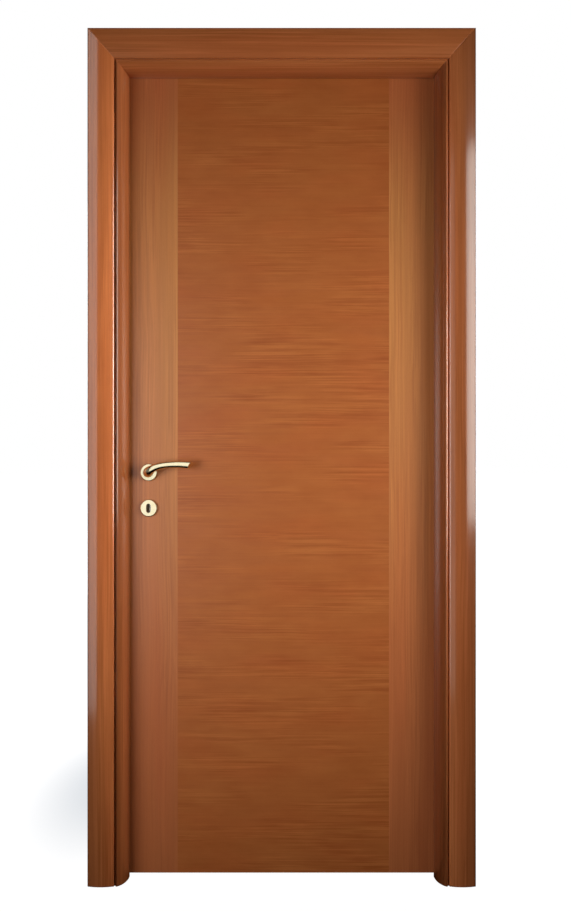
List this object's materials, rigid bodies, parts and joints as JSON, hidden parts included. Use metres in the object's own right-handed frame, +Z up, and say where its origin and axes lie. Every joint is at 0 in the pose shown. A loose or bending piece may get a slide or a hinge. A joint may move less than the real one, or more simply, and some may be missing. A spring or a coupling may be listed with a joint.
{
  "type": "interior door",
  "caption": "Rebated flush wooden door leaf with cross-grain field and upright bands, on barrel hinges in a round-nosed frame with architraves, lever handles and key escutcheons.",
  "frame": {"origin": "on the hinge jamb's wall face, at floor level, halfway through the wall's thickness", "axes": "+Z up, +X from the lock side to the hinge side and out of the hinge jamb's wall face, +Y from the front to the back"},
  "size_m": [1, 0.1797, 2.21],
  "materials": {
    "frame_wood": "satin lacquered reddish-brown wood, grain along each member",
    "band_veneer": "satin lacquered veneer with upright grain",
    "field_veneer": "satin lacquered veneer with level ribbon grain",
    "core_wood": "lacquered edge timber",
    "brass": "polished and lacquered",
    "lock_steel": "brass-toned plated steel",
    "gasket_rubber": "matte brown seal"
  },
  "bodies": {
    "frame": {"strike_jamb": "frame_wood", "hinge_jamb": "frame_wood", "head_jamb": "frame_wood", "front_architrave_left": "frame_wood", "front_architrave_right": "frame_wood", "front_architrave_head": "frame_wood", "back_architrave_left": "frame_wood", "back_architrave_right": "frame_wood", "back_architrave_head": "frame_wood", "gasket_left": "gasket_rubber", "gasket_right": "gasket_rubber", "gasket_head": "gasket_rubber", "strike_plate": "brass", "strike_screw_bottom": "brass", "strike_screw_top": "brass", "frame_hinge_bottom": "brass", "frame_hinge_middle": "brass", "frame_hinge_top": "brass"},
    "leaf": {"lock_stile": "core_wood", "hinge_stile": "core_wood", "top_rail": "core_wood", "bottom_rail": "core_wood", "front_lock_band": "band_veneer", "front_hinge_band": "band_veneer", "front_field": "field_veneer", "back_lock_band": "band_veneer", "back_hinge_band": "band_veneer", "back_field": "field_veneer", "mortise_lock": "lock_steel", "latch_bolt": "lock_steel", "dead_bolt": "lock_steel", "forend_screw_bottom": "brass", "forend_screw_top": "brass", "front_lever_rose": "brass", "back_lever_rose": "brass", "front_key_escutcheon": "brass", "back_key_escutcheon": "brass", "leaf_hinge_bottom": "brass", "leaf_hinge_middle": "brass", "leaf_hinge_top": "brass"},
    "handle": {"front_lever": "brass", "back_lever": "brass", "spindle": "lock_steel"}
  },
  "joints": [
    {"name": "leaf_swing", "type": "hinge", "parent": "frame", "child": "leaf", "pos_m": [-0.013, 0.064, 0], "axis": [0, 0, -1], "range_deg": [0, 170]},
    {"name": "lever_turn", "type": "hinge", "parent": "leaf", "child": "handle", "pos_m": [-0.794, 0.042, 1.063], "axis": [0, 1, 0], "range_deg": [0, 40], "stiffness_Nm_per_rad": 1.2, "springref_deg": -28.65}
  ]
}
